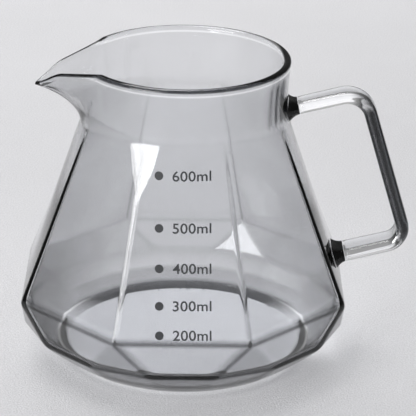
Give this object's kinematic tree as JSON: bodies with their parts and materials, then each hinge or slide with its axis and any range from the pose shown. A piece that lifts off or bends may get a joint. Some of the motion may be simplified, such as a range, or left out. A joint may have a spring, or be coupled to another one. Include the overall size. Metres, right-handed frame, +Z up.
{
  "type": "glass carafe",
  "caption": "Faceted smoked-glass coffee carafe with a round neck, a pulled pouring lip, a bent glass strap handle and a printed volume scale.",
  "frame": {"origin": "middle of the flat base, where the carafe stands", "axes": "+Z up along the vessel's axis, +X towards the handle and -X towards the lip, -Y towards the face with the printed scale"},
  "size_m": [0.1443, 0.1202, 0.1154],
  "materials": {
    "smoked_glass": "polished, lightly grey all through",
    "handle_glass": "fire-polished, lightly grey all through",
    "seal_glass": "fire-polished, dark where the seal bends the light away"
  },
  "bodies": {
    "root": {"carafe_body": "smoked_glass", "handle_strap": "handle_glass", "upper_weld": "seal_glass", "lower_weld": "seal_glass"}
  },
  "joints": []
}
